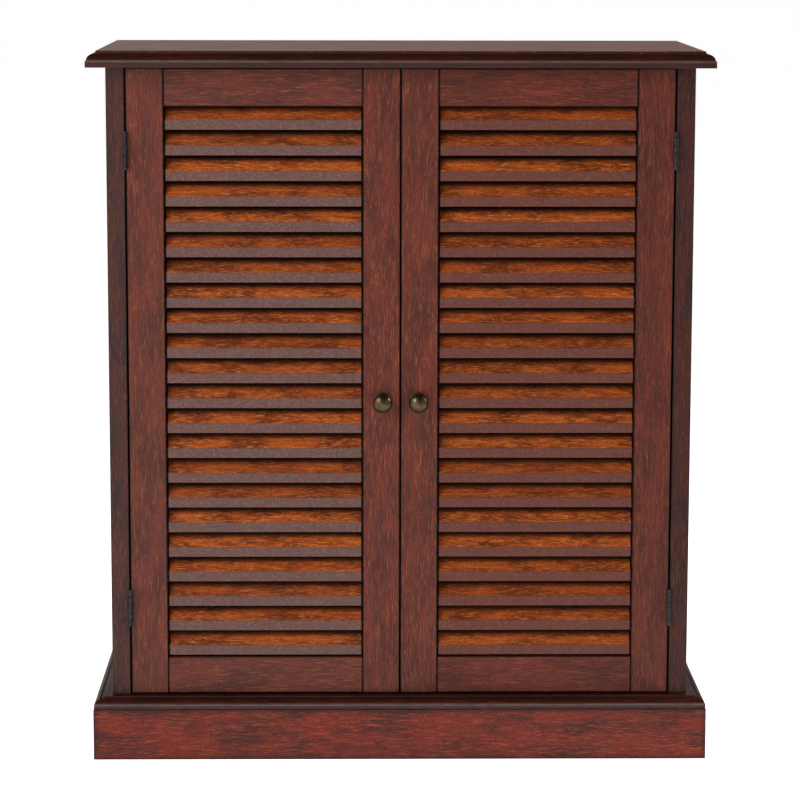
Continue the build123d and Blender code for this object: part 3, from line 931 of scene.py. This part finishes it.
# --- knobs
def knob_outline(radius, projection):
    """(radius, height) of a mushroom knob: wide foot, waisted neck, rim and domed crown."""
    foot, foot_edge, foot_top = 12.9 * mm, 1.6 * mm, 2.6 * mm
    neck, waist, rim, rim_round = 6.2 * mm, 8.0 * mm, 16.6 * mm, 0.9 * mm
    edge = radius - 0.3 * mm
    dome = projection - rim
    ball = (edge**2 + dome**2) / (2 * dome)
    rim_low = rim - 2 * rim_round
    outline = [(foot - 0.4 * mm, 0.0), (foot, 0.4 * mm), (foot, foot_edge)]
    outline += arc((foot - mm, foot_edge), (mm, mm), 0, 90, 4)
    outline += arc((foot - mm, waist), (foot - mm - neck, waist - foot_top), 270, 180, 8)
    across = radius - rim_round
    outline += arc((across, waist), (across - neck, rim_low - waist), 180, 90, 8)
    outline += arc((across, rim_low + rim_round), (rim_round, rim_round), -90, 40, 6)
    start = degrees(asin((ball - dome) / ball))
    outline += arc((0, projection - ball), (ball, ball), start, 90, 14)[:-1]
    outline.append((0, projection))
    return outline


class CABINET_OT_knobs(bpy.types.Operator):
    """Turn a mushroom knob for each door"""

    bl_idname = "cabinet.knobs"
    bl_label = "Knobs"

    def execute(self, context):
        brass = metal(
            "Antique brass", (0.13, 0.093, 0.05), (0.062, 0.045, 0.025), 0.5, 160, sheen=-0.06
        )
        low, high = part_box("right_door_knob")
        radius, projection = (high.x - low.x) / 2, high.y - low.y
        pattern = turned("knob_pattern", knob_outline(radius, projection), 64)
        smooth(pattern, radians(40))
        for side in ("left", "right"):
            low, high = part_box(f"{side}_door_knob")
            middle = (low + high) / 2
            foot = Vector((middle.x, high.y, middle.z))
            knob = copy_piece(pattern, f"{side}_knob", facing((0, -1, 0), foot))
            fit(knob, f"{side}_door", "knob_brass", brass, f"{side}_door_knob")
        remove(pattern)
        return {"FINISHED"}


# --- hinges
def model_leaf(name, low, high, barrel, owner_low, owner_high, knuckles):
    """A rolled hinge leaf: a plate with rounded rear corners, and its knuckles."""
    plate = add_block(name, low, high)
    with editing(plate):
        pick_edges(plate, lambda middle, way: is_along(way, "x") and middle.y > high.y - mm)
        bevel(2.0 * mm, 4)
    pieces = [plate]
    for bottom, top in knuckles:
        front, back = (owner_low, barrel.y, bottom), (owner_high, low.y + 0.5 * mm, top)
        neck = add_block("neck", front, back)
        clear_selection()
        bpy.ops.mesh.primitive_cylinder_add(
            vertices=32,
            radius=barrel.z,
            depth=top - bottom,
            location=(barrel.x, barrel.y, (bottom + top) / 2),
        )
        knuckle = settle("knuckle")
        with editing(knuckle):
            pick_edges(knuckle, lambda middle, way: abs(way.z) < 0.1)
            bevel(0.25 * mm, 2)
        pieces += [neck, knuckle]
    return join(name, pieces)


class CABINET_OT_hinges(bpy.types.Operator):
    """Model the butt hinges: two leaves and a pin for each"""

    bl_idname = "cabinet.hinges"
    bl_label = "Hinges"

    def execute(self, context):
        steel = metal(
            "Dark hinge steel", (0.085, 0.08, 0.08), (0.018, 0.017, 0.018), 0.6, 420, sheen=0.05
        )
        for side in ("left", "right"):
            for place in ("upper", "lower"):
                self.hinge(side, place, steel)
        return {"FINISHED"}

    def hinge(self, side, place, steel):
        pin_low, pin_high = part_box(f"{side}_{place}_hinge_pin")
        axis = (pin_low + pin_high) / 2
        for owner, body, first in (("frame", "cabinet", 0), ("door", f"{side}_door", 1)):
            node = f"{side}_{place}_hinge_{owner}_leaf"
            low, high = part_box(node)
            radius = (high.x - low.x) / 2
            inner, outer = self.plate_span(side, owner)
            gap = 0.15 * mm
            slack = 2 * gap if owner == "frame" else 0
            pitch = (high.z - low.z + slack) / knuckle_count
            bottom = axis.z - knuckle_count / 2 * pitch
            knuckles = [
                (bottom + index * pitch + gap, bottom + (index + 1) * pitch - gap)
                for index in range(first, knuckle_count, 2)
            ]
            plate_front = axis.y + radius + 0.3 * mm
            leaf = model_leaf(
                f"{side}_{place}_{owner}_leaf",
                Vector((inner, plate_front, low.z)),
                Vector((outer, high.y, high.z)),
                Vector((axis.x, axis.y, radius)),
                inner,
                outer,
                knuckles,
            )
            smooth(leaf)
            fit(leaf, body, "hinge_steel", steel, node)
        self.pin(side, place, axis, (pin_high.z - pin_low.z) / 2, steel)

    def plate_span(self, side, owner):
        """X range of a leaf's plate, which lies flat on the door's or the frame's edge."""
        sign = 1 if side == "right" else -1
        door_low, door_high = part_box(f"{side}_door_hinge_stile")
        stile_low, stile_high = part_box(f"{side}_front_stile")
        thickness = 1.0 * mm
        if owner == "door":
            wood = door_high.x if sign > 0 else door_low.x
            return sorted((wood, wood + sign * thickness))
        wood = stile_low.x if sign > 0 else stile_high.x
        return sorted((wood, wood - sign * thickness))

    def pin(self, side, place, axis, reach, steel):
        radius = 1.5 * mm
        outline = [(0.6 * radius, -reach), (radius, -reach + 0.4 * mm), (radius, reach - 0.4 * mm)]
        outline += arc((0, reach - 0.4 * mm), (radius, 0.4 * mm), 0, 75, 4)
        outline.append((0, reach))
        pin = turned(f"{side}_{place}_pin", outline, 24)
        pin.data.transform(Matrix.Translation(axis))
        smooth(pin, radians(50))
        fit(pin, "cabinet", "hinge_steel", steel, f"{side}_{place}_hinge_pin")


# --- screws and pins
def model_screw(name, head_radius, head_height, shank_radius, length, domed):
    """A screw on the Z axis with its head's top at zero, a shank below and a cross recess."""
    outline = [
        (0.3 * mm, -length),
        (shank_radius, -length + 2 * shank_radius),
        (shank_radius, -head_height),
    ]
    if domed:
        outline[-1] = (shank_radius, 0.0)
        outline += [(head_radius, 0.0)]
        outline += arc((0, head_height * 0.35), (head_radius, head_height * 0.65), 0, 80, 6)
    else:
        outline += [(head_radius, -0.2 * mm), (head_radius - 0.1 * mm, 0.0)]
    screw = turned(name, outline, 32)
    top = head_height if domed else 0.0
    recess = head_radius * 0.55
    blades = [
        add_block("blade", (-across, -along, top - 1.1 * mm), (across, along, top + 1 * mm))
        for across, along in ((recess, recess * 0.26), (recess * 0.26, recess))
    ]
    for blade in blades:
        apply_modifier(screw, "BOOLEAN", object=blade, operation="DIFFERENCE", solver="EXACT")
        remove(blade)
    smooth(screw, radians(35))
    return screw


def set_screws(node, body, slot, material, pattern, way):
    """Copies of the pattern at each solid of a node, heads facing the way it gives."""
    screws = []
    for number, (low, high) in enumerate(solid_boxes(node), start=1):
        middle = (low + high) / 2
        out = Vector(way(middle))
        half = Vector(abs(value) for value in (high - low) / 2)
        head = middle + Vector(out[axis] * half[axis] for axis in range(3))
        screws.append(copy_piece(pattern, f"{node}_{number}", facing(out, head)))
    return fit(join(f"{node}_set", screws), body, slot, material, node)


class CABINET_OT_screws(bpy.types.Operator):
    """Model the countersunk and pan-head screws and set them in their holes"""

    bl_idname = "cabinet.screws"
    bl_label = "Screws"

    def execute(self, context):
        zinc = metal("Screw zinc", (0.55, 0.53, 0.48), (0.28, 0.26, 0.22), 0.8, 500)
        dark = metal("Screw dark steel", (0.2, 0.18, 0.165), (0.06, 0.055, 0.05), 0.7, 500)
        hinge = model_screw("hinge_screw", 3.0 * mm, 1.0 * mm, 1.5 * mm, 15 * mm, False)
        inwards = lambda middle: (-1 if middle.x > 0 else 1, 0, 0)
        outwards = lambda middle: (1 if middle.x > 0 else -1, 0, 0)
        back = lambda middle: (0, 1, 0)
        down = lambda middle: (0, 0, -1)
        set_screws("hinge_frame_screws", "cabinet", "screw_steel", dark, hinge, inwards)
        for side in ("left", "right"):
            node = f"{side}_door_hinge_screws"
            set_screws(node, f"{side}_door", "screw_steel", dark, hinge, outwards)
        panel = model_screw("panel_screw", 3.0 * mm, 2.0 * mm, 1.5 * mm, 18 * mm, False)
        set_screws("back_panel_screws", "cabinet", "screw_steel", zinc, panel, back)
        catch = model_screw("catch_screw", 3.0 * mm, 2.0 * mm, 1.5 * mm, 26 * mm, False)
        set_screws("catch_screws", "cabinet", "screw_steel", zinc, catch, down)
        long = model_screw("long_screw", 4.0 * mm, 2.6 * mm, 2.0 * mm, 35 * mm, False)
        set_screws("top_fixing_screws", "cabinet", "screw_steel", zinc, long, down)
        block = model_screw("block_screw", 4.0 * mm, 2.6 * mm, 2.0 * mm, 41 * mm, False)
        set_screws("plinth_screws", "cabinet", "screw_steel", zinc, block, down)
        strike = model_screw("strike_screw", 2.6 * mm, 0.8 * mm, 1.5 * mm, 12 * mm, False)
        knob = model_screw("knob_screw", 3.8 * mm, 2.4 * mm, 2.0 * mm, 32 * mm, True)
        lowered = copy_piece(knob, "knob_screw_low", Matrix.Translation((0, 0, -2.4 * mm)))
        for side in ("left", "right"):
            body = f"{side}_door"
            set_screws(f"{side}_door_strike_screw", body, "screw_steel", zinc, strike, back)
            set_screws(f"{side}_door_knob_screw", body, "screw_steel", zinc, lowered, back)
        for pattern in (hinge, panel, catch, long, block, strike, knob, lowered):
            remove(pattern)
        return {"FINISHED"}


class CABINET_OT_shelf_pins(bpy.types.Operator):
    """Model a collared shelf pin and set it in its sixteen holes"""

    bl_idname = "cabinet.shelf_pins"
    bl_label = "Shelf pins"

    def execute(self, context):
        nickel = metal("Pin nickel", (0.72, 0.69, 0.63), (0.5, 0.47, 0.42), 0.8, 400, sheen=-0.1)
        radius, collar = 2.5 * mm, 4.0 * mm
        out, inside, thickness = 8.0 * mm, 8.8 * mm, 1.2 * mm
        outline = [(radius - 0.5 * mm, -inside), (radius, -inside + 0.5 * mm), (radius, 0.0)]
        outline += [(collar - 0.2 * mm, 0.0), (collar, 0.2 * mm), (collar, thickness - 0.3 * mm)]
        outline += [(collar - 0.3 * mm, thickness), (radius, thickness), (radius, out - 0.6 * mm)]
        outline += arc((radius - 0.6 * mm, out - 0.6 * mm), (0.6 * mm, 0.6 * mm), 0, 90, 3)
        pattern = turned("shelf_pin_pattern", outline, 28)
        smooth(pattern, radians(35))
        pins = []
        for number, (low, high) in enumerate(solid_boxes("shelf_pins"), start=1):
            middle = (low + high) / 2
            sign = -1 if middle.x > 0 else 1
            side_face = (high.x if sign < 0 else low.x) + sign * inside
            place = facing((sign, 0, 0), Vector((side_face, middle.y, middle.z)))
            pins.append(copy_piece(pattern, f"shelf_pin_{number}", place))
        remove(pattern)
        fit(join("shelf_pin_set", pins), "cabinet", "pin_steel", nickel, "shelf_pins")
        return {"FINISHED"}


# --- magnetic catch
class CABINET_OT_catch(bpy.types.Operator):
    """Model the magnetic catch and the strike plates on the doors"""

    bl_idname = "cabinet.catch"
    bl_label = "Magnetic catch"

    def execute(self, context):
        plastic = self.plastic()
        plate_steel = metal("Plate steel", (0.62, 0.6, 0.57), (0.4, 0.38, 0.36), 0.8, 350)
        self.housing(plastic)
        magnets = []
        for number, (low, high) in enumerate(solid_boxes("catch_magnets"), start=1):
            magnet = add_block(f"magnet_{number}", low, high)
            with editing(magnet):
                pick_faces(magnet, lambda middle, normal: normal.y < -0.5)
                bpy.ops.mesh.inset(thickness=1.6 * mm)
                extrude((0, 0.25 * mm, 0))
            smooth(magnet)
            magnets.append(magnet)
        joined = join("catch_magnet_pair", magnets)
        fit(joined, "cabinet", "catch_steel", plate_steel, "catch_magnets")
        for side in ("left", "right"):
            self.strike(side, plate_steel)
        return {"FINISHED"}

    def plastic(self):
        material, tree, shader = new_material("Catch plastic")
        haze = cloud(tree, object_place(tree), detail=3, scale=900)
        colour = blend_colours(tree, haze, (0.05, 0.028, 0.02, 1), (0.08, 0.045, 0.032, 1))
        roughness = between(tree, haze, 0.3, 0.7, 0.42, 0.55)
        feed(tree, shader, {"Base Color": colour, "Roughness": roughness})
        bump(tree, shader, haze, 0.03 * mm)
        return material

    def housing(self, plastic):
        low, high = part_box("catch_housing")
        housing = add_block("catch_body", low, high)
        with editing(housing):
            pick_edges(housing, lambda middle, way: is_along(way, "z"))
            bevel(2.0 * mm, 4)
            pick_faces(housing, lambda middle, normal: normal.z < -0.9)
            bpy.ops.mesh.inset(thickness=1.2 * mm)
            extrude((0, 0, 0.4 * mm))
        smooth(housing)
        fit(housing, "cabinet", "catch_plastic", plastic, "catch_housing")

    def strike(self, side, plate_steel):
        node = f"{side}_door_strike_plate"
        low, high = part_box(node)
        plate = add_block(f"{side}_strike", low, high)
        with editing(plate):
            pick_edges(plate, lambda middle, way: is_along(way, "y"))
            bevel(2.0 * mm, 4)
            pick_edges(plate, lambda middle, way: middle.y > high.y - 0.1 * mm)
            bevel(0.15 * mm, 2)
        smooth(plate)
        fit(plate, f"{side}_door", "catch_steel", plate_steel, node)


# --- stage
class CABINET_OT_stage(bpy.types.Operator):
    """Lay the floor and set the lights and the camera"""

    bl_idname = "cabinet.stage"
    bl_label = "Stage"

    def execute(self, context):
        settings = context.scene.cabinet_stage
        self.floor(settings)
        self.surroundings(context, settings)
        self.light("Key light", (-2.9, -2.7, 2.7), 1.8, settings.key_power)
        self.light("Fill light", (2.6, -2.6, 1.6), 2.2, settings.fill_power)
        self.light("Rim light", (2.6, 0.2, 1.9), 1.1, settings.rim_power)
        self.camera(context, settings)
        context.scene.view_settings.view_transform = "Standard"
        return {"FINISHED"}

    def floor(self, settings):
        clear_selection()
        bpy.ops.mesh.primitive_plane_add(size=400, location=(0, 0, frame_low.z))
        floor = settle("floor")
        material, tree, shader = new_material("Floor paint")
        brightest = 1.3
        across, depth, _ = axes(tree, object_place(tree))
        from_left = between(tree, across, -1.4, 1.4, 1.0, 0.3)
        in_front = between(tree, depth, -1.5, -1.0, 1.0, 0.0)
        glow = blend_values(tree, in_front, 1 / brightest, from_left)
        values = {
            "Base Color": (*settings.floor_tone, 1),
            "Roughness": 0.9,
            "Specular IOR Level": 0.1,
            "Emission Strength": settings.floor_glow * brightest,
            "Emission Color": blend_colours(tree, glow, (0, 0, 0, 1), (1, 1, 1, 1)),
        }
        feed(tree, shader, values)
        floor.data.materials.append(material)

    def surroundings(self, context, settings):
        """Pale walls, brighter on the left, dimmer behind the cabinet and overhead."""
        world = bpy.data.worlds.new("Studio")
        world.use_nodes = True
        tree = world.node_tree
        tree.nodes.clear()
        right, back, up = axes(tree, put(tree, "ShaderNodeTexCoord").outputs["Generated"])
        walls = between(tree, back, -0.2, 0.5, 1.0, settings.rear_walls)
        walls = multiply(tree, walls, between(tree, right, -0.45, 0.45, 1.2, 0.45))
        bright = blend_values(tree, between(tree, up, 0.1, 0.55), walls, settings.ceiling)
        values = {"Color": (1, 1, 1, 1), "Strength": multiply(tree, bright, settings.walls)}
        background = put(tree, "ShaderNodeBackground", values)
        put(tree, "ShaderNodeOutputWorld", {"Surface": background.outputs[0]})
        context.scene.world = world

    def light(self, name, place, size, power):
        lamp = bpy.data.lights.new(name, "AREA")
        lamp.shape = "SQUARE"
        lamp.size = size
        lamp.energy = power
        lamp_object = bpy.data.objects.new(name, lamp)
        lamp_object.location = place
        aim = Vector((0, 0, 0.5)) - Vector(place)
        lamp_object.rotation_euler = aim.to_track_quat("-Z", "Y").to_euler()
        bpy.context.scene.collection.objects.link(lamp_object)

    def camera(self, context, settings):
        lens = bpy.data.cameras.new("Camera")
        lens.sensor_width = 36
        lens.lens = settings.lens
        camera = bpy.data.objects.new("Camera", lens)
        camera.location = settings.camera_place
        level = Euler((radians(90) - settings.camera_pitch, 0, -settings.camera_yaw)).to_matrix()
        roll = Matrix.Rotation(-settings.camera_roll, 3, "Z")
        camera.rotation_euler = (level @ roll).to_euler()
        context.scene.collection.objects.link(camera)
        context.scene.camera = camera


# --- panel and start
class CABINET_PT_panel(bpy.types.Panel):
    """Sidebar panel of the cabinet's pieces and settings"""

    bl_label = "Shoe cabinet"
    bl_idname = "CABINET_PT_panel"
    bl_space_type = "VIEW_3D"
    bl_region_type = "UI"
    bl_category = "Cabinet"

    def draw(self, context):
        for step in steps:
            self.layout.operator(step.bl_idname)
        for group in ("cabinet_stain", "cabinet_moulding", "cabinet_stage"):
            settings = getattr(context.scene, group)
            box = self.layout.box()
            for name in settings.bl_rna.properties.keys():
                if name not in ("rna_type", "name"):
                    box.prop(settings, name)


steps = (
    CABINET_OT_mouldings,
    CABINET_OT_boards,
    CABINET_OT_slats,
    CABINET_OT_knobs,
    CABINET_OT_hinges,
    CABINET_OT_screws,
    CABINET_OT_shelf_pins,
    CABINET_OT_catch,
    CABINET_OT_stage,
)
setting_groups = {
    "cabinet_stain": CabinetStain,
    "cabinet_moulding": CabinetMoulding,
    "cabinet_stage": CabinetStage,
}


def register():
    for item in (*setting_groups.values(), *steps, CABINET_PT_panel):
        bpy.utils.register_class(item)
    for name, group in setting_groups.items():
        setattr(bpy.types.Scene, name, bpy.props.PointerProperty(type=group))


def unregister():
    for name in setting_groups:
        delattr(bpy.types.Scene, name)
    for item in (CABINET_PT_panel, *reversed(steps), *setting_groups.values()):
        bpy.utils.unregister_class(item)


def main():
    """Builds everything in order."""
    register()
    bpy.ops.cabinet.mouldings()
    bpy.ops.cabinet.boards()
    bpy.ops.cabinet.slats()
    bpy.ops.cabinet.knobs()
    bpy.ops.cabinet.hinges()
    bpy.ops.cabinet.screws()
    bpy.ops.cabinet.shelf_pins()
    bpy.ops.cabinet.catch()
    bpy.ops.cabinet.stage()


if __name__ == "__main__":
    main()
